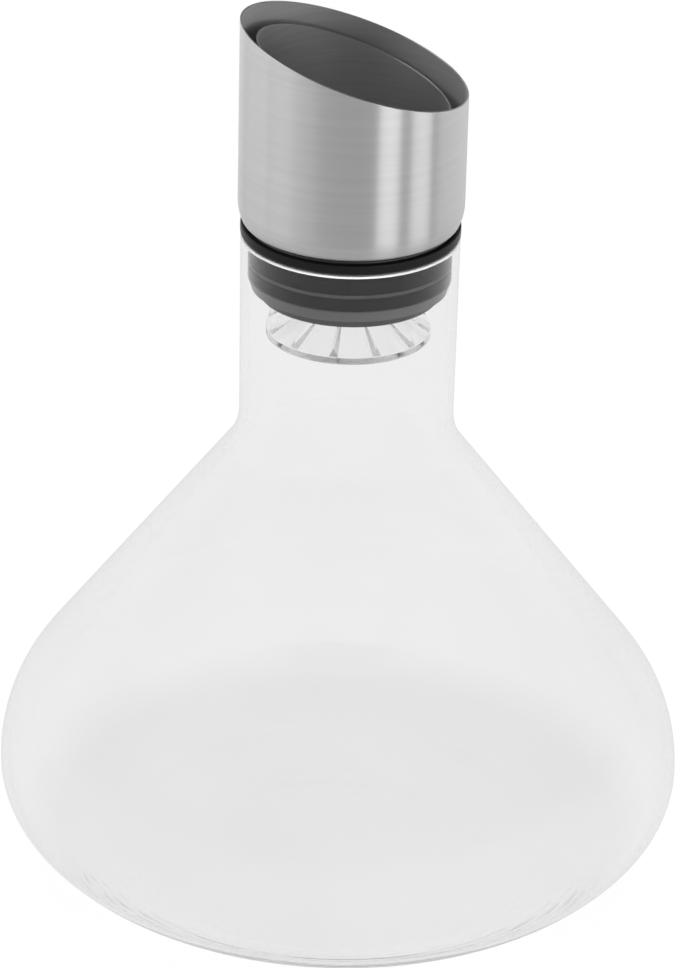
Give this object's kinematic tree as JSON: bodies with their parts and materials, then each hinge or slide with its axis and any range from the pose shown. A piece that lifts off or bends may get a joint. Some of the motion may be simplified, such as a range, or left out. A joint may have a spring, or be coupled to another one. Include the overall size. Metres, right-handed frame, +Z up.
{
  "type": "wine decanter",
  "caption": "Wide-bellied glass wine decanter with a conical shoulder, a straight neck and a lift-out steel pourer with a slanted spout, black seal and clear aerating spreader.",
  "frame": {"origin": "centre of the foot ring, on the surface that the carafe stands on", "axes": "+Z up along the neck, +X towards the low side of the slanted spout"},
  "size_m": [0.2006, 0.2006, 0.2627],
  "materials": {
    "glass": "clear polished",
    "outer_steel": "fine horizontal brushing",
    "inner_steel": "fine brushing, satin",
    "silicone": "smooth",
    "black_plastic": "satin",
    "clear_plastic": "clear moulded plastic"
  },
  "bodies": {
    "carafe": {"glass_carafe": "glass"},
    "seal": {"silicone_seal": "silicone"},
    "pourer": {"stopper_core": "black_plastic", "outer_collar": "outer_steel", "inner_funnel": "inner_steel", "clamp_nut": "black_plastic", "funnel_gasket": "silicone", "aerator_spreader": "clear_plastic"}
  },
  "joints": [
    {"name": "stopper_lift", "type": "slide", "parent": "carafe", "child": "seal", "axis": [0, 0, 1], "range_m": [0, 0.1]},
    {"name": "spout_turn", "type": "hinge", "parent": "seal", "child": "pourer", "pos_m": [0, 0, 0.199], "axis": [0, 0, 1], "continuous": true}
  ]
}
